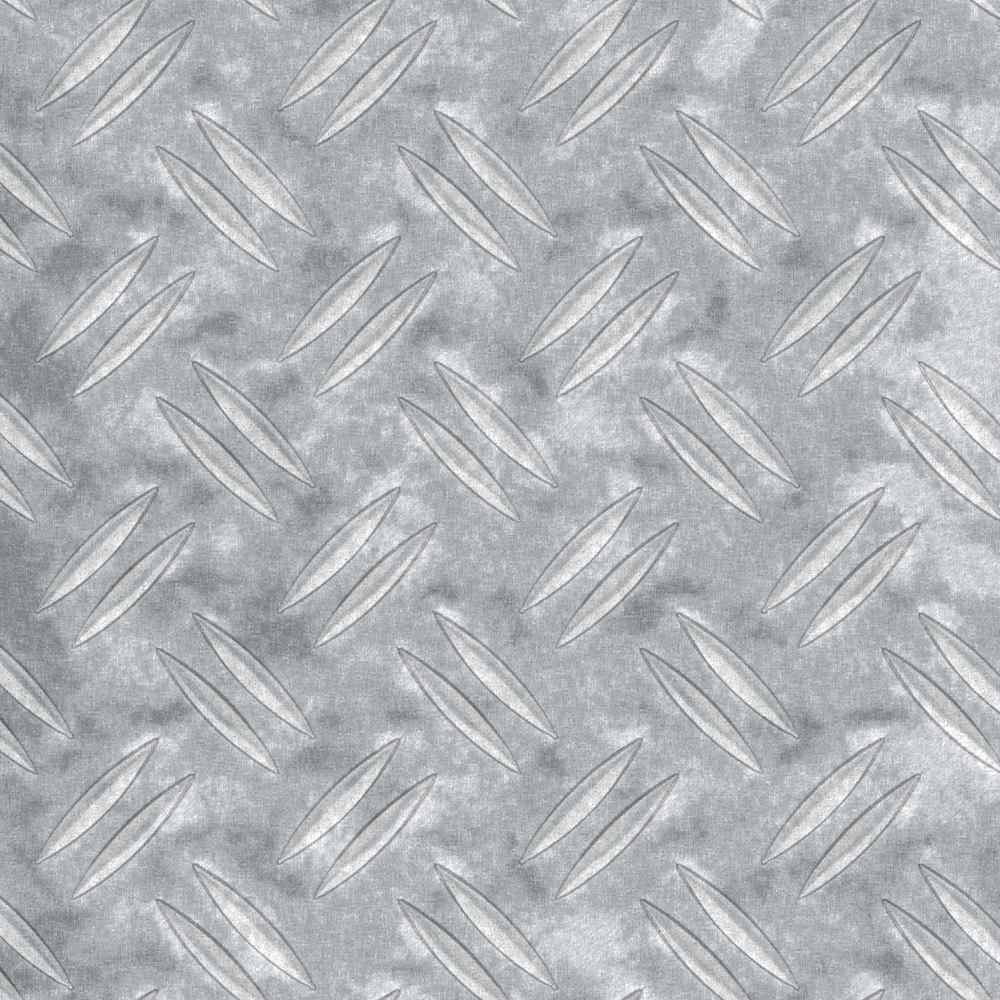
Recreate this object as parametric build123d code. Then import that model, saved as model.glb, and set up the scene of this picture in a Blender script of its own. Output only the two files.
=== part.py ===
# Aluminium tread plate with the two-bar pattern, as a panel cut to a stocked size.
# It is one rolled piece: a flat base with pairs of pointed bars standing on its upper face.
# The pairs stand on a chequerboard and lean left and right by turns, and the shears cut
# straight through the bars that meet the panel's edge.
# The origin is at the middle of the underside. X runs across the rolling direction,
# Y along it, and Z is up, towards the bars.

import os
from math import ceil, cos, radians, sin, tan

from build123d import *

# Panel, in millimetres
panel_width = 200.0
panel_length = 300.0
base_gauge = 2.5
corner_radius = 1.0
lower_edge_break = 0.2

# One raised bar, in millimetres and degrees
bar_length = 29.0
bar_width = 5.1
bar_height = 1.5
tip_width = 0.7
tip_run = 1.5
wall_height = 0.95
wall_draft = 27.0
crest_offset = 0.6

# The pattern, in millimetres and degrees
bar_angle = 45.7
bar_spacing = 8.4
pitch_across = 40.0
pitch_along = 41.5
pattern_shift_across = 16.35
pattern_shift_along = -11.27

# A sheared-off scrap of a bar smaller than this, in cubic millimetres, is left out
smallest_scrap = 0.3


def arc(start, middle, end):
    """A circular arc through three points."""
    return Edge.make_three_point_arc(start, middle, end)


def make_bar():
    """One bar, lying along X with its foot at Z 0 and its crest set off centre towards +Y.
    A steep drafted wall rises all round to a level shoulder. From there a gentle flank on
    one side and a steeper one on the other go up to a crest that arches from tip to tip."""
    half_length = bar_length / 2
    half_width = bar_width / 2
    half_tip = tip_width / 2
    shoulder_side = half_width - wall_height * tan(radians(wall_draft))
    left = (tip_run - half_length, 0, wall_height)
    right = (half_length - tip_run, 0, wall_height)
    crest = arc(left, (0, crest_offset, bar_height), right)

    faces = []
    feet = []
    for side in (-1, 1):
        foot = arc((-half_length, side * half_tip, 0), (0, side * half_width, 0), (half_length, side * half_tip, 0))
        shoulder = arc(left, (0, side * shoulder_side, wall_height), right)
        faces.append(Face.make_surface_from_curves(foot, shoulder))
        faces.append(Face.make_surface_from_curves(shoulder, crest))
        feet.append(foot)
    for end, tip in ((-half_length, left), (half_length, right)):
        feet.append(Edge.make_line((end, -half_tip, 0), (end, half_tip, 0)))
        faces.append(Face(Wire.make_polygon([(end, -half_tip, 0), (end, half_tip, 0), tip])))
    return Solid(Shell([Face(Wire(feet)), *faces]))


def bar_columns():
    """The centre and the turn of every bar that could touch the panel, column by column."""
    columns = ceil((panel_width / 2 + abs(pattern_shift_across) + bar_length) / pitch_across)
    rows = ceil((panel_length / 2 + abs(pattern_shift_along) + bar_length) / pitch_along)
    for column in range(-columns, columns + 1):
        places = []
        for row in range(-rows, rows + 1):
            for half, lean in ((0.0, bar_angle), (0.5, -bar_angle)):
                x = pattern_shift_across + (column + half) * pitch_across
                y = pattern_shift_along + (row + half) * pitch_along
                for turn in (lean, lean + 180):
                    bar_x = x - sin(radians(turn)) * bar_spacing / 2
                    bar_y = y + cos(radians(turn)) * bar_spacing / 2
                    places.append((bar_x, bar_y, turn))
        yield places


def reach_over_edge(x, y, turn):
    """How a bar meets the panel: 'whole' on it, 'cut' by its edge, or 'off' it."""
    half_x = abs(cos(radians(turn))) * bar_length / 2 + abs(sin(radians(turn))) * bar_width / 2
    half_y = abs(sin(radians(turn))) * bar_length / 2 + abs(cos(radians(turn))) * bar_width / 2
    room_x = panel_width / 2 - abs(x)
    room_y = panel_length / 2 - abs(y)
    if room_x < -half_x or room_y < -half_y:
        return "off"
    if room_x < half_x + corner_radius or room_y < half_y + corner_radius:
        return "cut"
    return "whole"


def stand_bars(bar, places, shears):
    """Copies of the bar at the places on the panel, those at its edge sheared off flush."""
    bars = []
    for x, y, turn in places:
        meeting = reach_over_edge(x, y, turn)
        placed = Location((x, y, base_gauge), (0, 0, turn)) * bar
        if meeting == "whole":
            bars.append(placed)
        if meeting == "cut":
            left_on = placed.intersect(shears) or []
            bars += [piece for piece in left_on if piece.volume > smallest_scrap]
    return bars


def make_base():
    """The flat base, with its lower edge broken all round."""
    base = extrude(RectangleRounded(panel_width, panel_length, corner_radius), base_gauge)
    lower_edges = base.faces().sort_by(Axis.Z)[0].edges()
    return chamfer(lower_edges, lower_edge_break)


def make_plate():
    """The base with every bar raised on it, one column of the pattern after another."""
    bar = make_bar()
    outline = RectangleRounded(panel_width, panel_length, corner_radius)
    shears = Pos(0, 0, base_gauge) * extrude(outline, bar_height)
    plate = make_base()
    for places in bar_columns():
        bars = stand_bars(bar, places, shears)
        if bars:
            plate += bars
    return plate


os.makedirs("parts", exist_ok=True)
tread_plate = make_plate()
tread_plate.label = "tread_plate"
export_step(tread_plate, "parts/tread_plate.step")
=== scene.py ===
import math

import bmesh
import bpy
import numpy as np
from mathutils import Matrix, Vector, noise
from mathutils.geometry import delaunay_2d_cdt


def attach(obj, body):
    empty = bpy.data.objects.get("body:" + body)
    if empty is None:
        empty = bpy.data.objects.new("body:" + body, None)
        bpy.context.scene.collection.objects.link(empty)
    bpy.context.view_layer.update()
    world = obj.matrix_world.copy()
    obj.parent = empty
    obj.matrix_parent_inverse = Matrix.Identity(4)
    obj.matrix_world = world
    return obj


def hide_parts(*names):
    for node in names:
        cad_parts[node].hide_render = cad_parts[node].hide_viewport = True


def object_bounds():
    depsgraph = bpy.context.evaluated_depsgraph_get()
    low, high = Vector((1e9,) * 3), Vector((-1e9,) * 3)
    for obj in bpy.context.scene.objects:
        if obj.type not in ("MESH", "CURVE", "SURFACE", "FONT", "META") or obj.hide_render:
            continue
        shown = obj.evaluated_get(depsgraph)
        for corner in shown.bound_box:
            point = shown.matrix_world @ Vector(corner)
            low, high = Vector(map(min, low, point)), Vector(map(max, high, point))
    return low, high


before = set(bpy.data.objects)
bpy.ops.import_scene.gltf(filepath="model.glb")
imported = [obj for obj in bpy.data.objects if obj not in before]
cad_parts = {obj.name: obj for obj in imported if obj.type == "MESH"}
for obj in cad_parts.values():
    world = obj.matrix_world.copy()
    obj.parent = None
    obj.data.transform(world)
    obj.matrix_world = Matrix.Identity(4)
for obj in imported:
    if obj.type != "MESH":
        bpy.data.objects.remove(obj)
cadLow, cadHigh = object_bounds()
print("frame loaded, panel", [round((high - low) * 1000, 1) for low, high in zip(cadLow, cadHigh)], "mm")

mm = 0.001  # settings are in millimetres, Blender works in metres


def linearColour(code):  # "#rrggbb" in sRGB to the linear colour that Blender's sockets take
    parts = [int(code[i:i + 2], 16) / 255 for i in (1, 3, 5)]
    return [p / 12.92 if p <= 0.04045 else ((p + 0.055) / 1.055) ** 2.4 for p in parts] + [1.0]


def addNode(tree, kind, inputs, **settings):
    # an input is a plain value, a socket, or a node whose first output is meant
    node = tree.nodes.new(kind)
    for name, value in settings.items():
        setattr(node, name, value)
    for key, value in inputs.items():
        if isinstance(value, bpy.types.Node):
            value = value.outputs[0]
        if isinstance(value, bpy.types.NodeSocket):
            tree.links.new(value, node.inputs[key])
        else:
            node.inputs[key].default_value = value
    return node


# The rolled pattern: where the pairs of bars stand and how they lean
pattern = {
    "pitchAcross": 40.0,
    "pitchAlong": 41.5,
    "shiftAcross": 16.35,   # from the panel's middle to the nearest pair that leans right
    "shiftAlong": -11.27,
    "lean": 45.7,
    "spacing": 8.4,         # between the two bars of a pair
    "tileBulge": 3.5,       # how far a tile's end edges swell to clear the tips
    "groundSpacing": 1.85,  # between the mesh points of the flat ground
    "edgeSteps": 14,        # mesh edges along each of a tile's four sides
}

# One bar: x runs along it, y across it, both from its middle.
# The wall's run is its width seen from above, at five places from the lower tip to the upper one.
bar = {
    "length": 29.0,
    "width": 5.1,
    "tipWidth": 0.7,
    "height": 1.5,
    "tipDrop": 0.7,         # how much lower the crown is at its tips
    "wallRise": 1.2,
    "wallRuns": {
        ("upper", 1): (0.16, 0.24, 0.28, 0.28, 0.42),
        ("upper", -1): (0.34, 0.30, 0.24, 0.30, 0.46),
        ("lower", 1): (0.14, 0.42, 0.50, 0.46, 0.38),
        ("lower", -1): (0.38, 0.38, 0.36, 0.42, 0.50),
    },
    "lowerSqueeze": 0.95,   # the lower bar's lower half is a little narrower
    # the lower tip draws in, (how far out, over what length, how much): to a nub on the upper bar
    "neck": {"upper": (13.2, 0.4, 0.4), "lower": (14.6, 1.0, 0.5)},
    "shoulderRound": 0.07,
    "creaseRound": 0.06,
    "footRound": 0.03,
    "apron": 0.55,          # ground ring that joins the bar to the plate's mesh
}

# The crowns: a level band between two flanks, each a slope that steepens towards the shoulder.
# On the upper bar of a pair the band hugs the upper side, on the lower bar both flanks are broad.
# A flank's tone is painted light, with some burnish wear, that makes it lighter than the band.
crowns = {
    ("upper", 1): {"slope": 14.0, "steepening": 0.0, "tone": 13.0},
    ("upper", -1): {"slope": 12.0, "steepening": 0.05, "tone": 14.0},
    ("lower", 1): {"slope": 12.0, "steepening": 0.0, "tone": 17.0},
    ("lower", -1): {"slope": 18.0, "steepening": 0.05, "tone": 16.0},
}
bandTones = {"upper": 2.0, "lower": 3.0}
# painted light and shade of a wall's mesh lines: apron, beside the foot, foot, lower wall, upper wall, shoulder,
# inside it.
# The dark lines at the foot and the shoulder are painted shade; the lighter apron and walls are painted light, most
# on the lower side's wall at the upper tip. They are given at the lower tip, twice near the middle, and at the upper
# tip.
toneStations = (-0.85, -0.35, 0.35, 0.85)
wallShading = {
    1: (
        (6, 6, 0, 6, 6, 0, 8), (10, 10, -8, 0, 4, -2, 10),
        (10, 10, -9, 0, 4, -2, 10), (18, 20, -34, -14, 0, -10, 8)),
    -1: (
        (20, 24, -26, -6, 8, -6, 12), (16, 20, -20, -2, 8, 8, 28),
        (16, 20, -20, -2, 8, 8, 28), (12, 14, -26, 56, 56, -24, 8)),
}
# painted shade: a thin dark line in the crease beside the upper tip's edges, by bar and side
tipCreaseShade = {("upper", 1): 0.0, ("upper", -1): -14.0, ("lower", 1): -12.0, ("lower", -1): -14.0}


def narrowing(x, kind):
    place, length, depth = bar["neck"][kind]
    return 1 - depth * np.exp(-((x + place) / length) ** 2)


def footHalf(x, kind):  # half the bar's width at its foot, round at the tips
    halfLength = bar["length"] / 2
    tipRadius = bar["tipWidth"] / 2
    bulge = bar["width"] / 2 - tipRadius
    radius = (halfLength ** 2 + bulge ** 2) / (2 * bulge)
    away = np.minimum(np.abs(x), halfLength)
    flank = np.sqrt(radius ** 2 - away ** 2) - radius + bar["width"] / 2
    past = np.maximum(away - halfLength + tipRadius, 0)
    return np.maximum(flank - tipRadius + np.sqrt(tipRadius ** 2 - past ** 2), 0.12) * narrowing(x, kind)


def wallRun(x, kind, side):
    places = np.linspace(-0.68, 0.68, 5) * bar["length"] / 2
    return np.interp(x, places, bar["wallRuns"][kind, side])


def bandEdges(x, kind):  # the y of the level band's two edges, the upper one first, as seen in the picture
    halfSpan = bar["length"] / 2 - 0.6
    room = np.clip(footHalf(x, kind) - 0.4, 0.02, None)
    if kind == "upper":
        high = footHalf(x, kind) - 0.35 - 0.78 * np.clip(room / 1.4, 0, 1)
        low = 0.36 - 0.8 * (x / halfSpan) ** 2
    else:
        high = 0.23 + np.where(x < 0, 0.006, 0.011) * x ** 2
        pinch = np.clip((-x - 1.0) / 6.5, 0, 1)
        pinch = pinch * pinch * (3 - 2 * pinch)
        low = (-0.88 + 0.95 * (x / halfSpan) ** 2) * (1 - pinch) + 0.10 * pinch
    limit = room - 0.12 * np.clip(room, 0, 1)
    high = np.clip(high, -limit + 0.04, limit)
    low = np.clip(low, -limit, high - 0.04)
    return high, low


def softPlus(value, rounding):  # max(value, 0) with a rounded corner
    return rounding * np.logaddexp(0.0, value / rounding)


def softMin(a, b, rounding):
    return b - softPlus(b - a, rounding)


def barHeight(x, y, kind):
    halfLength = bar["length"] / 2
    tipRadius = bar["tipWidth"] / 2
    bulge = bar["width"] / 2 - tipRadius
    radius = (halfLength ** 2 + bulge ** 2) / (2 * bulge)
    if kind == "lower":
        y = np.where(y < 0, y / bar["lowerSqueeze"], y)
    y = y / narrowing(x, kind)
    inside = radius - np.hypot(x, np.abs(y) + radius - bar["width"] / 2)
    fromEnd = halfLength - np.abs(x)
    corner = tipRadius - np.hypot(np.maximum(tipRadius - inside, 0), np.maximum(tipRadius - fromEnd, 0))
    inside = np.where(np.minimum(inside, fromEnd) < tipRadius, corner, np.minimum(inside, fromEnd))
    upperPart = 0.5 + 0.5 * np.tanh(y / 0.12)
    run = wallRun(x, kind, 1) * upperPart + wallRun(x, kind, -1) * (1 - upperPart)
    wall = inside * bar["wallRise"] / run
    crown = bar["height"] - bar["tipDrop"] * (np.abs(x) / halfLength) ** 3
    high, low = bandEdges(x, kind)
    for side, past in ((1, y - high), (-1, low - y)):
        flank = crowns[kind, side]
        down = softPlus(past, bar["creaseRound"])
        crown = crown - math.tan(math.radians(flank["slope"])) * down - flank["steepening"] * down ** 2
    return softPlus(softMin(wall, crown, bar["shoulderRound"]), bar["footRound"])


def barGrid(kind):  # the bar's mesh points, as rows of stations along it by lines across it
    halfLength = bar["length"] / 2
    ends = [halfLength + bar["apron"]] + [halfLength - x for x in (0.0, 0.1, 0.32, 0.75, 1.15, 1.7)]
    stations = [-x for x in ends] + list(np.linspace(-11.8, 11.8, 12)) + ends[::-1]
    rows, tones = [], []
    for x in stations:
        half = float(footHalf(np.float64(x), kind))
        outward = 1.0 if abs(x) < halfLength else 0.8
        high, low = (float(v) for v in bandEdges(np.float64(x), kind))
        sides = {}
        for side in (1, -1):
            run = min(float(wallRun(x, kind, side)), half * 0.6)
            inner = half - run - min(0.14, half * 0.25)
            sides[side] = [half + bar["apron"] * outward, half + 0.14, half]
            sides[side] += [half - 0.3 * run, half - 0.72 * run, half - run, inner]
            if (kind, side) == ("lower", -1):
                sides[side] = [y * bar["lowerSqueeze"] for y in sides[side]]
        reach = 0.08 * min(1.0, half)
        top, bottom = sides[1][-1], -sides[-1][-1]
        lines = sides[1] + [
            (top + high + reach) / 2, high + reach, high - reach, (high + low) / 2,
            low + reach, low - reach, (low - reach + bottom) / 2,
        ] + [-y for y in reversed(sides[-1])]
        gap = (top - bottom) / 12
        for i in range(7, 14):  # keeps the crown's lines in order where the bar narrows
            lines[i] = min(lines[i], lines[i - 1] - gap)
        for i in range(13, 6, -1):
            lines[i] = max(lines[i], lines[i + 1] + gap)
        rows.append([(x, y) for y in lines])
        # painted light and shade at each mesh line across the bar
        crownTones = [crowns[kind, 1]["tone"]] * 2 + [bandTones[kind]] * 3 + [crowns[kind, -1]["tone"]] * 2
        nearTip = float(np.interp(x / halfLength, (0.4, 0.75), (0, 1)))
        crownTones[0] += nearTip * tipCreaseShade[kind, 1]
        crownTones[-1] += nearTip * tipCreaseShade[kind, -1]
        upperWall, lowerWall = (
            [float(np.interp(x / halfLength, toneStations, tones)) for tones in zip(*wallShading[side])]
            for side in (1, -1))
        row = upperWall + crownTones + lowerWall[::-1]
        if abs(x) > halfLength:
            row = [0.0] * len(lines)
        elif abs(x) == halfLength:
            row[2:-2] = [upperWall[2]] * (len(lines) - 4)
        tones.append(row)
    return np.array(rows), np.array(tones)


def tileBorder():  # a lozenge whose ends swell past the tips and whose sides give way to the neighbours
    corners = [
        Vector((pattern["pitchAcross"] / 2, 0)),
        Vector((0, pattern["pitchAlong"] / 2)),
        Vector((-pattern["pitchAcross"] / 2, 0)),
        Vector((0, -pattern["pitchAlong"] / 2)),
    ]
    points = []
    for i, start in enumerate(corners):
        end = corners[(i + 1) % 4]
        along = (end - start).normalized()
        outward = Vector((along.y, -along.x)) * (1 if i % 2 == 0 else -1)
        for step in range(pattern["edgeSteps"]):
            part = step / pattern["edgeSteps"]
            swell = pattern["tileBulge"] * math.sin(math.pi * part) ** 0.7 if step else 0.0
            points.append(start.lerp(end, part) + outward * swell)
    return points


def insidePolygon(x, y, loop):
    inside = False
    for (ax, ay), (bx, by) in zip(loop, np.roll(loop, -1, axis=0)):
        if (ay > y) != (by > y) and x < (bx - ax) * (y - ay) / (by - ay) + ax:
            inside = not inside
    return inside


def makeTile():
    lean = math.radians(pattern["lean"])
    along = np.array([math.cos(lean), math.sin(lean)])
    across = np.array([-math.sin(lean), math.cos(lean)])
    points, heights, faces, rings = [], [], [], []
    crownMask, tones = [], []
    for kind, side in (("upper", 1), ("lower", -1)):
        grid, gridTones = barGrid(kind)
        rowCount, lineCount = grid.shape[:2]
        first = len(points)
        local = grid.reshape(-1, 2)
        z = barHeight(local[:, 0], local[:, 1], kind)
        z = np.where(z < 0.004, 0.0, z)
        place = local[:, :1] * along + local[:, 1:] * across + side * pattern["spacing"] / 2 * across
        points += list(place)
        heights += list(z)
        halfWidths = footHalf(local[:, 0], kind)
        onBar = np.clip((halfWidths + 0.12 - np.abs(local[:, 1])) / 0.12, 0, 1).reshape(rowCount, lineCount)
        onBar[:, 9:12] *= 0.4  # the level band is smoother than the flanks
        crownMask += list(onBar.ravel())
        tones += list(gridTones.ravel())

        def index(row, line):
            return first + row * lineCount + line
        for row in range(rowCount - 1):
            for line in range(lineCount - 1):
                faces.append((index(row, line), index(row, line + 1), index(row + 1, line + 1), index(row + 1, line)))
        ring = [index(row, 0) for row in range(rowCount)]
        ring += [index(rowCount - 1, line) for line in range(1, lineCount)]
        ring += [index(row, lineCount - 1) for row in range(rowCount - 2, -1, -1)]
        ring += [index(0, line) for line in range(lineCount - 2, 0, -1)]
        rings.append(ring)
    border = tileBorder()
    borderLoop = np.array([tuple(p) for p in border])
    ringLoops = [np.array([points[i] for i in ring]) for ring in rings]
    step = pattern["groundSpacing"]
    loose = []
    for row, y in enumerate(np.arange(-28, 28, step * 0.866)):
        for x in np.arange(-28, 28, step):
            spot = np.array([x + (row % 2) * step / 2, y])
            clear = min(np.hypot(*(loop - spot).T).min() for loop in [borderLoop, *ringLoops])
            if clear > step * 0.55 and insidePolygon(spot[0], spot[1], borderLoop):
                if not any(insidePolygon(spot[0], spot[1], loop) for loop in ringLoops):
                    loose.append(spot)
    flat = [points[i] for ring in rings for i in ring] + [np.array(p) for p in border] + loose
    owner = [i for ring in rings for i in ring]
    edges, start = [], 0
    for count in (len(rings[0]), len(rings[1]), len(border)):
        edges += [(start + i, start + (i + 1) % count) for i in range(count)]
        start += count
    result = delaunay_2d_cdt([Vector(p) for p in flat], edges, [], 0, 1e-6)
    newPoints, newFaces, origins = result[0], result[2], result[3]
    ids = []
    for vertex, sources in zip(newPoints, origins):
        source = sources[0] if sources else None
        if source is not None and source < len(owner):
            ids.append(owner[source])
        else:
            ids.append(len(points))
            points.append(np.array(vertex))
            heights.append(0.0)
            crownMask.append(0.0)
            tones.append(0.0)
    for face in newFaces:
        centre = np.mean([newPoints[i] for i in face], axis=0)
        if not insidePolygon(centre[0], centre[1], borderLoop):
            continue
        if any(insidePolygon(centre[0], centre[1], loop) for loop in ringLoops):
            continue
        faces.append(tuple(ids[i] for i in face))
    xyz = np.column_stack([np.array(points), np.array(heights)]) * mm
    mesh = bpy.data.meshes.new("tile")
    mesh.from_pydata(xyz.tolist(), [], faces)
    # crown marks the bars; tone carries their painted light and shade
    for name, values in (("crown", crownMask), ("tone", tones)):
        layer = mesh.attributes.new(name, "FLOAT", "POINT")
        layer.data.foreach_set("value", np.array(values, np.float32))
    mesh.update()
    print("tile:", len(mesh.vertices), "points,", sum(len(f) - 2 for f in faces), "triangles")
    return bpy.data.objects.new("tile", mesh)


def patternTree():  # lays tiles on a chequerboard, every second one mirrored, and welds them
    tree = bpy.data.node_groups.new("twoBarPattern", "GeometryNodeTree")
    for name, kind in (
        ("Tile", "NodeSocketObject"), ("Pitch Across", "NodeSocketFloat"), ("Pitch Along", "NodeSocketFloat"),
        ("Columns", "NodeSocketInt"), ("Rows", "NodeSocketInt"),
        ("Shift Across", "NodeSocketFloat"), ("Shift Along", "NodeSocketFloat"), ("Height", "NodeSocketFloat"),
        ("Weld", "NodeSocketFloat"), ("Material", "NodeSocketMaterial"),
    ):
        tree.interface.new_socket(name, in_out="INPUT", socket_type=kind)
    tree.interface.new_socket("Geometry", in_out="OUTPUT", socket_type="NodeSocketGeometry")
    given = addNode(tree, "NodeGroupInput", {}).outputs
    gaps = [addNode(tree, "ShaderNodeMath", {0: given[n], 1: 1.0}, operation="SUBTRACT") for n in ("Columns", "Rows")]
    sizes = [
        addNode(tree, "ShaderNodeMath", {0: gap, 1: given[n]}, operation="MULTIPLY")
        for gap, n in zip(gaps, ("Pitch Across", "Pitch Along"))
    ]
    grid = addNode(tree, "GeometryNodeMeshGrid", {
        "Size X": sizes[0], "Size Y": sizes[1], "Vertices X": given["Columns"], "Vertices Y": given["Rows"]})
    tile = addNode(tree, "GeometryNodeObjectInfo", {"Object": given["Tile"]}).outputs["Geometry"]
    mirrored = addNode(tree, "GeometryNodeTransform", {"Geometry": tile, "Scale": (-1, 1, 1)})
    mirrored = addNode(tree, "GeometryNodeFlipFaces", {"Mesh": mirrored})
    joined = addNode(tree, "GeometryNodeJoinGeometry", {})
    for shape, steps in ((mirrored.outputs[0], 0.5), (tile, 0.0)):
        x = addNode(tree, "ShaderNodeMath", {
            0: given["Pitch Across"], 1: steps, 2: given["Shift Across"]}, operation="MULTIPLY_ADD")
        y = addNode(tree, "ShaderNodeMath", {
            0: given["Pitch Along"], 1: steps, 2: given["Shift Along"]}, operation="MULTIPLY_ADD")
        offset = addNode(tree, "ShaderNodeCombineXYZ", {"X": x, "Y": y, "Z": given["Height"]})
        moved = addNode(tree, "GeometryNodeSetPosition", {"Geometry": grid, "Offset": offset})
        placed = addNode(tree, "GeometryNodeInstanceOnPoints", {"Points": moved, "Instance": shape})
        tree.links.new(placed.outputs[0], joined.inputs[0])
    real = addNode(tree, "GeometryNodeRealizeInstances", {"Geometry": joined})
    welded = addNode(tree, "GeometryNodeMergeByDistance", {"Geometry": real, "Distance": given["Weld"]})
    finished = addNode(tree, "GeometryNodeSetMaterial", {"Geometry": welded, "Material": given["Material"]})
    addNode(tree, "NodeGroupOutput", {0: finished})
    return tree


# The panel: its outline comes from the frame, its gauge from a known stock size
panel = {
    "gauge": 2.5,
    "cornerRadius": 1.0,
    "cornerSteps": 4,
    "rollOver": 0.25,       # the shear drags the upper edge down over this width
    "rollDrop": 0.08,
    "lowerBreak": 0.2,
    "columns": 7,
    "rows": 9,
}


def layPattern(tile, material):
    tree = patternTree()
    host = bpy.data.objects.new("patternHost", bpy.data.meshes.new("patternHost"))
    bpy.context.scene.collection.objects.link(host)
    modifier = host.modifiers.new("pattern", "NODES")
    modifier.node_group = tree
    values = {
        "Tile": tile, "Material": material, "Columns": panel["columns"], "Rows": panel["rows"],
        "Pitch Across": pattern["pitchAcross"] * mm, "Pitch Along": pattern["pitchAlong"] * mm,
        "Shift Across": pattern["shiftAcross"] * mm, "Shift Along": pattern["shiftAlong"] * mm,
        "Height": panel["gauge"] * mm, "Weld": 0.001 * mm,
    }
    for item in tree.interface.items_tree:
        if item.name in values:
            modifier[item.identifier] = values[item.name]
    depsgraph = bpy.context.evaluated_depsgraph_get()
    mesh = bpy.data.meshes.new_from_object(host.evaluated_get(depsgraph))
    host.modifiers.remove(modifier)
    bpy.data.objects.remove(host)
    return mesh


def panelPlanes(inset):  # the cutting planes of the outline: four sides and the steps of its round corners
    halfX = cadHigh.x - inset * mm
    halfY = cadHigh.y - inset * mm
    radius = panel["cornerRadius"] * mm
    planes = [((halfX, 0, 0), (1, 0, 0)), ((-halfX, 0, 0), (-1, 0, 0))]
    planes += [((0, halfY, 0), (0, 1, 0)), ((0, -halfY, 0), (0, -1, 0))]
    for signX in (-1, 1):
        for signY in (-1, 1):
            for step in range(1, panel["cornerSteps"] + 1):
                turn = math.pi / 2 * step / (panel["cornerSteps"] + 1)
                normal = (signX * math.cos(turn), signY * math.sin(turn), 0)
                placeX = signX * (halfX - radius) + normal[0] * radius
                placeY = signY * (halfY - radius) + normal[1] * radius
                planes.append(((placeX, placeY, 0), normal))
    return planes


def makePlate(topFinish, edgeFinish, backFinish):
    tile = makeTile()
    mesh = layPattern(tile, topFinish)
    bpy.data.objects.remove(tile)
    print("pattern laid:", len(mesh.polygons), "faces")
    work = bmesh.new()
    work.from_mesh(mesh)
    for face in work.faces:
        face.material_index = 0
    for place, normal in panelPlanes(0.0):
        everything = work.verts[:] + work.edges[:] + work.faces[:]
        bmesh.ops.bisect_plane(work, geom=everything, dist=1e-7, plane_co=place, plane_no=normal, clear_outer=True)
    for place, normal in panelPlanes(panel["rollOver"])[:4]:
        everything = work.verts[:] + work.edges[:] + work.faces[:]
        bmesh.ops.bisect_plane(work, geom=everything, dist=1e-7, plane_co=place, plane_no=normal)
    rim = [e for e in work.edges if e.is_boundary]
    for vertex in {v for e in rim for v in e.verts}:
        vertex.co.z -= panel["rollDrop"] * mm
    for height, inset in ((panel["lowerBreak"], 0.0), (0.0, panel["lowerBreak"])):
        grown = bmesh.ops.extrude_edge_only(work, edges=rim)["geom"]
        rim = [g for g in grown if isinstance(g, bmesh.types.BMEdge) and g.is_boundary]
        for vertex in {v for e in rim for v in e.verts}:
            vertex.co.x *= 1 - inset * mm / cadHigh.x
            vertex.co.y *= 1 - inset * mm / cadHigh.y
            vertex.co.z = height * mm
        for face in (g for g in grown if isinstance(g, bmesh.types.BMFace)):
            face.material_index = 1
    back = bmesh.ops.contextual_create(work, geom=rim)["faces"]
    for face in back:
        face.material_index = 2
    bmesh.ops.triangulate(work, faces=work.faces[:])
    bmesh.ops.recalc_face_normals(work, faces=work.faces[:])
    openEdges = sum(1 for e in work.edges if not e.is_manifold)
    mesh.materials.clear()
    for finish in (topFinish, edgeFinish, backFinish):
        mesh.materials.append(finish)
    work.to_mesh(mesh)
    work.free()
    mesh.name = "treadPlate"
    markWearAndShading(mesh)
    mesh.set_sharp_from_angle(angle=math.radians(50))
    for face in mesh.polygons:  # the sides and the back stay flat
        face.use_smooth = face.material_index == 0
    plate = bpy.data.objects.new("treadPlate", mesh)
    bpy.context.scene.collection.objects.link(plate)
    print("plate:", len(mesh.polygons), "triangles,", openEdges, "open edges")
    return plate


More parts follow.
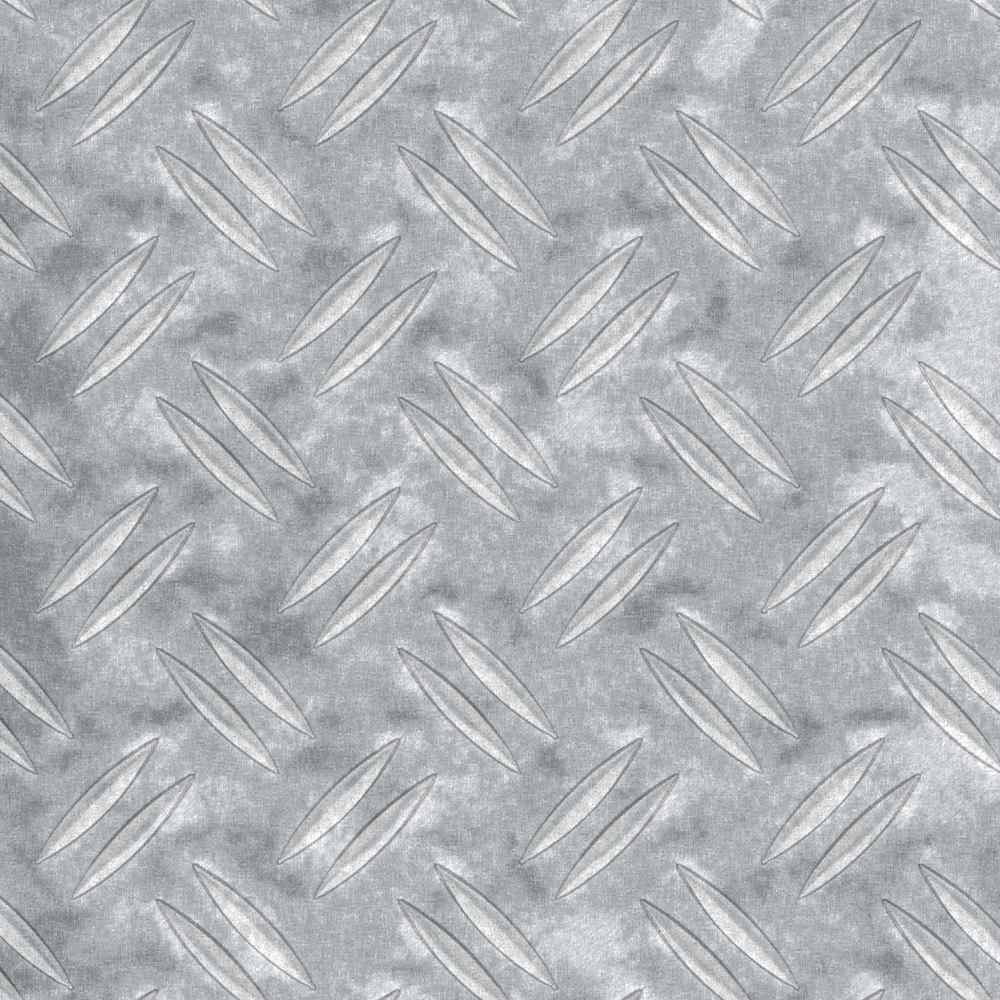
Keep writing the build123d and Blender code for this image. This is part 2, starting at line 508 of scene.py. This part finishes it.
# The worn upper face. Strengths are in steps of an 8 bit grey; sizes are in millimetres.
wornFace = {
    "level": 163.0,
    "darkest": 85.0,
    "lightest": 243.0,
    "tones": ("#54575A", "#74777A", "#94989B", "#B4B7BA", "#D3D5D8", "#F3F4F5"),
    "crownTint": "#FFFDFB",  # the bars are a touch warmer than the ground
    "roughness": 0.34,
    # patchy oxide and rubbing, then the grain that the rolls leave along the sheet
    # name: (across, along, detail, roughness)
    "grains": {
        "cloud": (17.0, 14.0, 5.0, 0.7),
        "rub": (1.8, 2.0, 3.0, 0.65),
        "streak": (0.2, 3.2, 1.0, 0.6),
        "crossStreak": (3.0, 0.2, 1.0, 0.6),
        "grit": (0.22, 0.36, 1.0, 0.6),
        "fleck": (0.25, 0.3, 2.0, 0.8),
    },
    "clouds": 91.0,         # strength of the cloud grain, which goes through the ragged edges
    "raggedness": 44.0,     # how far the rub grain moves those edges
    "raggedEdge": (28.5, 34.5),
    "insideEdge": (0.3, 1.05),
    "evenedFrom": 25.0,     # stronger patches than this are cut off flat
    "evenedTo": 30.0,
    "rubbing": 20.0,
    "fineStrengths": {"streak": 48.0, "crossStreak": 38.0, "grit": 96.0},
    "unevenness": (0.6, 1.4),   # the fine grain and the bars' painted light and shade come and go between these
    "patchesOnBars": 0.35,
    "grainOnBars": 0.6,
    "strokes": {"turn": -38.0, "length": 2.0, "width": 0.34, "from": 6.0, "to": 24.0, "strength": 50.0},
    "flecks": (-120.0, 4.0),
    "fleckShare": (0.27, 0.41),
    "warpSize": 5.0,
    "warpReach": 2.6,
    "warpSeed": 1,      # without one, Blender takes the clock and the wear and painted shade differ each run
    "scuffGain": 1.3,
    # painted light and shade around every pair, with some wear, from its middle: (x, y, half width, half height,
    # turn, strength)
    "halos": [
        (4.3, 13.3, 5.4, 2.2, 20, 46),
        (8.8, 12.0, 2.4, 2.2, 0, 16),
        (10.6, 1.2, 6.4, 2.1, 57, 38),
        (13.8, -3.2, 10.0, 2.3, 8, -24),
        (-14.7, -5.0, 2.6, 2.6, 0, -20),
        (-11.9, -10.6, 6.5, 2.8, -48, -22),
        (-4.8, 10.2, 6.0, 4.5, 45, -8),
        (15.7, 6.2, 6.0, 5.0, 0, 10),
        (-1.5, -16.3, 7.0, 5.0, 0, 6),
    ],
    # single scuffs and stains on this panel, and broad patches that make it darker towards the left and lighter
    # towards the right;
    # from its middle: the same six numbers
    "scuffs": [
        (38.8, 76.9, 12.4, 4.3, 48, 46),  # diagonal scuff
        (29.8, 68.6, 4.3, 3.3, 0, 20),
        (80.2, 62.5, 5.6, 6.0, 0, 46),  # right side
        (74.7, 45.5, 4.3, 7.9, -15, 32),
        (78.5, 22.8, 10.2, 5.6, -35, 46),
        (66.1, 1.7, 11.9, 5.0, -20, 40),
        (80.7, -12.4, 8.6, 6.9, 0, 50),
        (71.1, -40.5, 10.9, 7.3, -10, 32),
        (81.0, -45.5, 7.3, 5.6, 0, 28),
        (62.8, 23.1, 3.6, 3.3, 0, 16),
        (16.5, -73.6, 12.2, 8.6, 0, 24),  # lower side
        (27.3, -50.4, 6.9, 4.0, 50, 20),
        (-13.2, -52.9, 7.6, 4.6, 40, 22),
        (-28.9, -57.0, 7.9, 2.6, 20, 16),
        (-38.0, -76.9, 8.9, 4.0, -20, 26),
        (-51.2, -71.9, 6.0, 4.0, 0, 18),
        (-14.1, -72.7, 4.6, 4.0, 0, 18),
        (-54.5, -52.1, 6.9, 4.0, 0, 18),
        (-54.2, -42.2, 6.6, 1.5, 60, 15),
        (46.3, -64.5, 2.6, 4.3, 0, 22),
        (-57.9, 17.7, 4.0, 3.6, 0, 38),  # thumb marks
        (-40.5, 21.5, 5.3, 2.5, -10, 34),
        (-32.6, 9.9, 4.3, 2.5, 15, 32),
        (-25.6, 5.0, 4.3, 2.0, 0, 30),
        (-17.4, 5.3, 6.0, 2.1, 32, 34),
        (-14.4, 0.0, 2.5, 6.9, -8, 30),
        (-18.2, -6.9, 2.1, 6.0, -32, 22),
        (-44.6, -6.6, 4.3, 6.9, 0, 20),
        (-57.5, 5.8, 2.0, 4.3, 0, 18),
        (-75.2, 14.9, 4.6, 4.6, 0, 16),
        (0.0, 17.9, 5.3, 3.0, 20, 28),  # middle
        (6.3, 9.1, 3.6, 3.0, 0, 28),
        (-7.4, 21.5, 3.6, 3.0, 0, 12),
        (30.6, 17.9, 4.6, 3.0, 30, 20),
        (38.8, 34.7, 2.3, 5.0, 0, 14),
        (16.5, -11.6, 9.9, 4.0, 40, 9),
        (-43.8, 70.3, 4.3, 3.3, 0, 22),  # upper side
        (-40.5, 66.9, 3.3, 2.3, 0, 14),
        (14.9, 81.0, 9.9, 2.3, 0, 18),
        (-38.3, 52.9, 8.6, 2.1, -42, 12),
        (-74.4, -26.4, 7.9, 3.3, 0, 12),
        (-57.9, 34.7, 4.3, 4.0, 0, 11),
        (9.9, 57.9, 4.3, 4.0, 0, 10),
        (66.1, 66.9, 3.3, 3.3, 0, 10),
        (-81.8, -8.3, 5.6, 9.9, 0, -30),
        (-76.9, -35.5, 7.3, 4.6, 0, -34),
        (-79.3, -76.9, 7.3, 7.3, 0, -36),
        (-78.5, 31.4, 3.0, 6.6, 0, -18),
        (-77.7, 47.1, 6.6, 2.6, 0, -14),
        (-81.0, 56.2, 3.3, 3.3, 0, -16),
        (-55.4, -35.5, 9.3, 1.8, 0, -18),  # dark spots
        (-50.4, 0.8, 5.3, 3.3, 0, -15),
        (-43.8, 29.4, 4.3, 3.0, 20, -22),
        (-52.9, 74.4, 3.0, 5.0, 0, -18),
        (-72.7, 66.9, 3.6, 3.6, 0, -10),
        (35.5, 33.1, 2.0, 7.6, -12, -24),
        (38.8, -16.5, 3.0, 12.6, 0, -16),
        (35.5, 9.9, 4.3, 13.2, 0, -9),
        (66.9, 72.7, 4.3, 4.3, 0, -16),
        (68.1, 32.2, 5.0, 4.3, 0, -22),
        (76.0, -70.3, 9.6, 8.3, 0, -18),
        (-9.9, 57.9, 3.3, 6.6, 0, -14),
        (-14.9, 46.3, 2.6, 5.6, 0, -12),
        (25.6, 52.1, 4.6, 2.6, 0, -11),
        (38.0, -66.1, 4.0, 4.3, 0, -20),
        (-42.2, -54.5, 3.3, 6.9, 0, -16),
        (-38.0, 16.5, 3.3, 3.0, 0, -17),
        (52.9, -76.0, 3.0, 3.6, 0, -16),
        (-26.4, -1.7, 6.6, 3.0, 0, -12),
        (-9.1, -5.0, 3.3, 8.6, 0, -9),
        (-57.9, 25.6, 2.5, 2.3, 0, -12),
        # broad patches: darker towards the left, lighter towards the right
        (-86.0, 2.0, 30.0, 130.0, 0, -16),
        (13.0, 20.0, 14.0, 44.0, 0, 14),
        (76.0, 22.0, 18.0, 48.0, 0, 18),
        (-45.0, -12.0, 28.0, 36.0, 0, -12),
        (-75.0, -76.0, 18.0, 16.0, 0, -16),
        (62.0, 96.0, 14.0, 7.0, 20, 26),  # beyond what the photograph shows
        (90.0, 118.0, 9.0, 13.0, 0, 34),
        (-30.0, 104.0, 8.0, 4.0, -30, 24),
        (-70.0, 122.0, 14.0, 8.0, 10, -20),
        (12.0, 128.0, 16.0, 6.0, 35, 18),
        (-92.0, 96.0, 7.0, 14.0, 0, -22),
        (36.0, 143.0, 8.0, 4.0, 0, 22),
        (-8.0, 92.0, 5.0, 8.0, 0, -14),
        (-52.0, -100.0, 10.0, 6.0, 30, 24),
        (24.0, -108.0, 14.0, 9.0, -20, 26),
        (80.0, -96.0, 10.0, 8.0, 0, -20),
        (88.0, -128.0, 12.0, 10.0, 0, 30),
        (-84.0, -130.0, 12.0, 12.0, 0, -24),
        (-18.0, -134.0, 12.0, 5.0, 15, 20),
        (52.0, -142.0, 7.0, 5.0, 0, -16),
        (95.0, 20.0, 10.0, 30.0, 0, 16),
    ],
}


def markWearAndShading(mesh):  # writes how much lighter or darker each point is: scuffs and stains, and painted light and shade round every pair
    count = len(mesh.vertices)
    places = np.empty(count * 3, np.float32)
    mesh.vertices.foreach_get("co", places)
    places = places.reshape(-1, 3)[:, :2] / mm
    noise.seed_set(wornFace["warpSeed"])
    bends = np.array([noise.noise_vector(Vector((x, y, 0)) / wornFace["warpSize"])[:2] for x, y in places])
    x, y = (places + bends * wornFace["warpReach"]).T
    wearAndShading = np.zeros(count)

    def spot(dx, dy, halfWidth, halfHeight, turn):
        c, s = math.cos(math.radians(turn)), math.sin(math.radians(turn))
        near = np.clip(1 - np.hypot((dx * c + dy * s) / halfWidth, (dy * c - dx * s) / halfHeight), 0, 1)
        return near * near * (3 - 2 * near)
    pitchX, pitchY = pattern["pitchAcross"], pattern["pitchAlong"]
    for mirrored in (0, 1):
        fromX = (x - pattern["shiftAcross"] - pitchX / 2 * mirrored) * (1 - 2 * mirrored)
        fromY = y - pattern["shiftAlong"] - pitchY / 2 * mirrored
        for haloX, haloY, halfWidth, halfHeight, turn, strength in wornFace["halos"]:
            dx = (fromX - haloX + pitchX / 2) % pitchX - pitchX / 2
            dy = (fromY - haloY + pitchY / 2) % pitchY - pitchY / 2
            wearAndShading += strength * spot(dx, dy, halfWidth, halfHeight, turn)
    for scuffX, scuffY, halfWidth, halfHeight, turn, strength in wornFace["scuffs"]:
        wearAndShading += wornFace["scuffGain"] * strength * spot(x - scuffX, y - scuffY, halfWidth, halfHeight, turn)
    layer = mesh.attributes.new("wearAndShading", "FLOAT", "POINT")
    layer.data.foreach_set("value", wearAndShading.astype(np.float32))


def startMaterial(name, settings, upright=False):
    # a metal with its grains, which are noises whose cells measure across by along in real millimetres
    material = bpy.data.materials.new(name)
    material.use_nodes = True
    tree = material.node_tree
    shader = tree.nodes["Principled BSDF"]
    shader.inputs["Metallic"].default_value = 1.0
    shader.inputs["Roughness"].default_value = settings["roughness"]
    objectPlace = addNode(tree, "ShaderNodeTexCoord", {}).outputs["Object"]
    place = addNode(tree, "ShaderNodeVectorMath", {0: objectPlace, "Scale": 1000.0}, operation="SCALE")
    if upright:  # on the sides the grains run round the panel and up
        axes = addNode(tree, "ShaderNodeSeparateXYZ", {0: place}).outputs
        around = addNode(tree, "ShaderNodeMath", {0: axes["X"], 1: axes["Y"]}, operation="ADD")
        place = addNode(tree, "ShaderNodeCombineXYZ", {"X": around, "Y": axes["Z"]})
    grains = {}
    for key, (across, along, detail, rough) in settings["grains"].items():
        cells = addNode(tree, "ShaderNodeVectorMath", {
            0: place, 1: (1 / across, 1 / along, 1.0)}, operation="MULTIPLY")
        grains[key] = addNode(tree, "ShaderNodeTexNoise", {
            "Vector": cells, "Scale": 1.0, "Detail": detail, "Roughness": rough}, noise_dimensions="2D")
    return material, tree, shader, place, grains


def rolledAluminium():
    # Aluminium 5754 tread plate as it leaves the engraved roll, dulled by air, water and soles:
    # satin mid grey, a faint grain along the sheet, paler where it has been rubbed. The grain's real lines are
    # finer than 0.1 mm, which the picture can't show, so they are drawn 0.2 mm wide and more.
    material, tree, shader, place, grains = startMaterial("rolledAluminium", wornFace)
    # scuffs and stains, and the painted light and shade around each pair
    wearAndShading = addNode(tree, "ShaderNodeAttribute", {}, attribute_name="wearAndShading").outputs["Fac"]
    crown = addNode(tree, "ShaderNodeAttribute", {}, attribute_name="crown").outputs["Fac"]

    # broad patches, scuffs and halos have ragged edges and a nearly even tone inside
    broad = addNode(tree, "ShaderNodeMath", {
        0: grains["cloud"], 1: wornFace["clouds"], 2: wearAndShading}, operation="MULTIPLY_ADD")
    broad = addNode(tree, "ShaderNodeMath", {0: broad, 1: wornFace["clouds"] / 2}, operation="SUBTRACT")
    edge = addNode(tree, "ShaderNodeMath", {0: broad}, operation="ABSOLUTE")
    edge = addNode(tree, "ShaderNodeMath", {
        0: grains["rub"], 1: wornFace["raggedness"], 2: edge}, operation="MULTIPLY_ADD")
    edge = addNode(tree, "ShaderNodeMapRange", {
        "Value": edge, "From Min": wornFace["raggedEdge"][0], "From Max": wornFace["raggedEdge"][1],
        "To Min": wornFace["insideEdge"][0], "To Max": wornFace["insideEdge"][1],
    }, interpolation_type="SMOOTHSTEP")
    evened = addNode(tree, "ShaderNodeMapRange", {
        "Value": broad, "From Min": -wornFace["evenedFrom"], "From Max": wornFace["evenedFrom"],
        "To Min": -wornFace["evenedTo"], "To Max": wornFace["evenedTo"]})
    level = addNode(tree, "ShaderNodeMath", {0: evened, 1: edge}, operation="MULTIPLY")
    rubbed = addNode(tree, "ShaderNodeMapRange", {
        "Value": grains["rub"], "To Min": -wornFace["rubbing"], "To Max": wornFace["rubbing"]})
    level = addNode(tree, "ShaderNodeMath", {0: level, 1: rubbed}, operation="ADD")
    besideBars = addNode(tree, "ShaderNodeMapRange", {
        "Value": crown, "To Min": 1.0, "To Max": wornFace["patchesOnBars"]})
    level = addNode(tree, "ShaderNodeMath", {0: level, 1: besideBars}, operation="MULTIPLY")

    # the fine grain comes and goes, and is weaker on the bars, which have dark flecks instead
    fine = -sum(wornFace["fineStrengths"].values()) / 2
    for name, strength in wornFace["fineStrengths"].items():
        fine = addNode(tree, "ShaderNodeMath", {0: grains[name], 1: strength, 2: fine}, operation="MULTIPLY_ADD")
    swell = addNode(tree, "ShaderNodeMapRange", {
        "Value": grains["rub"], "From Min": 0.35, "From Max": 0.65,
        "To Min": wornFace["unevenness"][0], "To Max": wornFace["unevenness"][1]})
    onBars = addNode(tree, "ShaderNodeMapRange", {
        "Value": crown, "To Min": 1.0, "To Max": wornFace["grainOnBars"]})
    swell = addNode(tree, "ShaderNodeMath", {0: swell, 1: onBars}, operation="MULTIPLY")
    level = addNode(tree, "ShaderNodeMath", {0: fine, 1: swell, 2: level}, operation="MULTIPLY_ADD")
    # what has been rubbed bright shows the strokes
    strokes = wornFace["strokes"]
    stroke = addNode(tree, "ShaderNodeVectorRotate", {
        "Vector": place, "Angle": math.radians(strokes["turn"])}, rotation_type="Z_AXIS")
    stroke = addNode(tree, "ShaderNodeVectorMath", {
        0: stroke, 1: (1 / strokes["length"], 1 / strokes["width"], 1.0)}, operation="MULTIPLY")
    stroke = addNode(tree, "ShaderNodeTexNoise", {
        "Vector": stroke, "Scale": 1.0, "Detail": 1.0, "Roughness": 0.6}, noise_dimensions="2D")
    stroke = addNode(tree, "ShaderNodeMath", {0: stroke, 1: 0.5}, operation="SUBTRACT")
    bright = addNode(tree, "ShaderNodeMapRange", {
        "Value": evened, "From Min": strokes["from"], "From Max": strokes["to"],
        "To Min": 0.0, "To Max": strokes["strength"]})
    level = addNode(tree, "ShaderNodeMath", {0: stroke, 1: bright, 2: level}, operation="MULTIPLY_ADD")
    speckle = addNode(tree, "ShaderNodeMapRange", {
        "Value": grains["fleck"], "From Min": wornFace["fleckShare"][0], "From Max": wornFace["fleckShare"][1],
        "To Min": wornFace["flecks"][0], "To Max": wornFace["flecks"][1]})
    level = addNode(tree, "ShaderNodeMath", {0: speckle, 1: crown, 2: level}, operation="MULTIPLY_ADD")

    # the bars' painted light and shade: lighter flanks and walls, dark lines along the feet and beside the tips
    tone = addNode(tree, "ShaderNodeAttribute", {}, attribute_name="tone").outputs["Fac"]
    uneven = addNode(tree, "ShaderNodeMapRange", {
        "Value": grains["rub"], "From Min": 0.36, "From Max": 0.64,
        "To Min": wornFace["unevenness"][0], "To Max": wornFace["unevenness"][1]})
    level = addNode(tree, "ShaderNodeMath", {0: tone, 1: uneven, 2: level}, operation="MULTIPLY_ADD")

    shade = addNode(tree, "ShaderNodeMapRange", {
        "Value": level, "From Min": wornFace["darkest"] - wornFace["level"],
        "From Max": wornFace["lightest"] - wornFace["level"]})
    ramp = addNode(tree, "ShaderNodeValToRGB", {"Fac": shade})
    last = len(wornFace["tones"]) - 1
    for i in range(1, last):
        ramp.color_ramp.elements.new(i / last)
    for stop, code in zip(ramp.color_ramp.elements, wornFace["tones"]):
        stop.color = linearColour(code)
    tinted = addNode(tree, "ShaderNodeMix", {
        0: crown, 6: ramp, 7: linearColour(wornFace["crownTint"])}, data_type="RGBA", blend_type="MULTIPLY")
    tree.links.new(tinted.outputs[2], shader.inputs["Base Color"])
    bump = addNode(tree, "ShaderNodeBump", {"Height": grains["streak"], "Strength": 0.25, "Distance": 0.05 * mm})
    tree.links.new(bump.outputs["Normal"], shader.inputs["Normal"])
    return material


# The sides: the shear burnishes the upper part of its cut and breaks the metal off below
shearedSide = {
    "burnished": 1.5,       # height above the underside where the smooth part starts
    "borderWander": 1.6,
    "smoothTones": ("#B6B9BB", "#CBCECF"),
    "brokenTones": ("#999C9F", "#B6B9BB"),
    "roughness": 0.34,
    "brokenRoughness": 0.6,
    "grains": {
        "comb": (0.14, 4.0, 1.0, 0.6),
        "crumb": (0.3, 0.22, 2.0, 0.7),
        "wander": (3.0, 60.0, 3.0, 0.6),
    },
}


def shearedAluminium():
    # Aluminium cut by a guillotine: vertical burnish lines on top, a dull torn band under them
    material, tree, shader, place, grains = startMaterial("shearedAluminium", shearedSide, upright=True)
    height = addNode(tree, "ShaderNodeSeparateXYZ", {0: place}).outputs["Y"]
    # the border wanders up and down by half of this much round the panel
    wander = shearedSide["borderWander"]
    start = addNode(tree, "ShaderNodeMath", {0: grains["wander"], 1: -wander, 2: height}, operation="MULTIPLY_ADD")
    start = addNode(tree, "ShaderNodeMath", {0: start, 1: wander / 2}, operation="ADD")
    smooth = addNode(tree, "ShaderNodeMapRange", {
        "Value": start, "From Min": shearedSide["burnished"] - 0.1, "From Max": shearedSide["burnished"] + 0.1})
    tones = []
    for name, grain in (("brokenTones", grains["crumb"]), ("smoothTones", grains["comb"])):
        spread = addNode(tree, "ShaderNodeMapRange", {"Value": grain, "From Min": 0.35, "From Max": 0.65})
        low, high = (linearColour(code) for code in shearedSide[name])
        tones.append(addNode(tree, "ShaderNodeMix", {0: spread, 6: low, 7: high}, data_type="RGBA").outputs[2])
    colour = addNode(tree, "ShaderNodeMix", {0: smooth, 6: tones[0], 7: tones[1]}, data_type="RGBA").outputs[2]
    tree.links.new(colour, shader.inputs["Base Color"])
    gloss = addNode(tree, "ShaderNodeMapRange", {
        "Value": smooth, "To Min": shearedSide["brokenRoughness"], "To Max": shearedSide["roughness"]})
    tree.links.new(gloss.outputs[0], shader.inputs["Roughness"])
    bump = addNode(tree, "ShaderNodeBump", {"Height": grains["crumb"], "Strength": 0.5, "Distance": 0.06 * mm})
    tree.links.new(bump.outputs["Normal"], shader.inputs["Normal"])
    return material


# The underside, which ran over a plain roll
millFace = {
    "tones": ("#ABAEB0", "#C3C6C8"),
    "roughness": 0.3,
    "grains": {
        "line": (0.3, 16.0, 2.0, 0.65),
        "bloom": (20.0, 34.0, 4.0, 0.6),
    },
}


def millAluminium():
    # Mill finished aluminium: fine lines along the rolling direction and a soft bloom of oxide
    material, tree, shader, place, grains = startMaterial("millAluminium", millFace)
    blend = addNode(tree, "ShaderNodeMath", {0: grains["line"], 1: grains["bloom"]}, operation="ADD")
    spread = addNode(tree, "ShaderNodeMapRange", {"Value": blend, "From Min": 0.75, "From Max": 1.25})
    low, high = (linearColour(code) for code in millFace["tones"])
    colour = addNode(tree, "ShaderNodeMix", {0: spread, 6: low, 7: high}, data_type="RGBA").outputs[2]
    tree.links.new(colour, shader.inputs["Base Color"])
    gloss = addNode(tree, "ShaderNodeMapRange", {
        "Value": grains["bloom"], "From Min": 0.3, "From Max": 0.7, "To Min": 0.24, "To Max": 0.38})
    tree.links.new(gloss.outputs[0], shader.inputs["Roughness"])
    bump = addNode(tree, "ShaderNodeBump", {"Height": grains["line"], "Strength": 0.3, "Distance": 0.03 * mm})
    tree.links.new(bump.outputs["Normal"], shader.inputs["Normal"])
    return material


topFinish = rolledAluminium()
edgeFinish = shearedAluminium()
backFinish = millAluminium()
plate = makePlate(topFinish, edgeFinish, backFinish)
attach(plate, "root")
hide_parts("tread_plate")

# The studio: white surroundings, a broad light low in the picture and a weaker one above it
studio = {
    "photoSide": 165.3,     # the stretch of plate that the photograph shows
    "cameraHeight": 1.5,
    "floorSize": 6.0,
    "skyForDiffuse": 0.75,
    "lights": {
        "southPanel": {"tilt": 38.0, "distance": 2.0, "width": 3.0, "depth": 1.5, "radiance": 0.9},
        "northPanel": {"tilt": -34.0, "distance": 2.0, "width": 3.0, "depth": 1.1, "radiance": 0.7},
    },
}


def makeLights():
    for name, light in studio["lights"].items():
        lamp = bpy.data.lights.new(name, "AREA")
        lamp.shape = "RECTANGLE"
        lamp.size = light["width"]
        lamp.size_y = light["depth"]
        lamp.energy = light["radiance"] * math.pi * light["width"] * light["depth"]
        holder = bpy.data.objects.new(name, lamp)
        tilt = math.radians(light["tilt"])
        holder.location = (0, -light["distance"] * math.sin(tilt), light["distance"] * math.cos(tilt))
        holder.rotation_euler = (tilt, 0, 0)
        bpy.context.scene.collection.objects.link(holder)


def makeWorld():
    world = bpy.data.worlds.new("studio")
    world.use_nodes = True
    tree = world.node_tree
    tree.nodes.clear()
    paths = addNode(tree, "ShaderNodeLightPath", {}).outputs
    seen = addNode(tree, "ShaderNodeMath", {
        0: paths["Is Camera Ray"], 1: paths["Is Glossy Ray"]}, operation="MAXIMUM")
    seen = addNode(tree, "ShaderNodeMath", {0: seen, 1: paths["Is Transmission Ray"]}, operation="MAXIMUM")
    strength = addNode(tree, "ShaderNodeMapRange", {
        "Value": seen, "To Min": studio["skyForDiffuse"], "To Max": 1.0})
    sky = addNode(tree, "ShaderNodeBackground", {"Color": (1, 1, 1, 1), "Strength": strength})
    addNode(tree, "ShaderNodeOutputWorld", {"Surface": sky})
    bpy.context.scene.world = world


def makeFloor():
    mesh = bpy.data.meshes.new("floor")
    half = studio["floorSize"] / 2
    mesh.from_pydata([(-half, -half, 0), (half, -half, 0), (half, half, 0), (-half, half, 0)], [], [(0, 1, 2, 3)])
    floor = bpy.data.objects.new("floor", mesh)
    material = bpy.data.materials.new("paleFloor")
    material.use_nodes = True
    shader = material.node_tree.nodes["Principled BSDF"]
    shader.inputs["Base Color"].default_value = linearColour("#E9E9E8")
    shader.inputs["Roughness"].default_value = 0.9
    mesh.materials.append(material)
    bpy.context.scene.collection.objects.link(floor)


def makeCamera():
    camera = bpy.data.cameras.new("camera")
    camera.sensor_width = 36.0
    camera.lens = camera.sensor_width * studio["cameraHeight"] / (studio["photoSide"] * mm)
    camera.clip_end = 20.0
    holder = bpy.data.objects.new("camera", camera)
    holder.location = (0, 0, studio["cameraHeight"] + panel["gauge"] * mm)
    bpy.context.scene.collection.objects.link(holder)
    bpy.context.scene.camera = holder


makeLights()
makeWorld()
makeFloor()
makeCamera()
bpy.context.scene.view_settings.view_transform = "Standard"
print("studio ready")
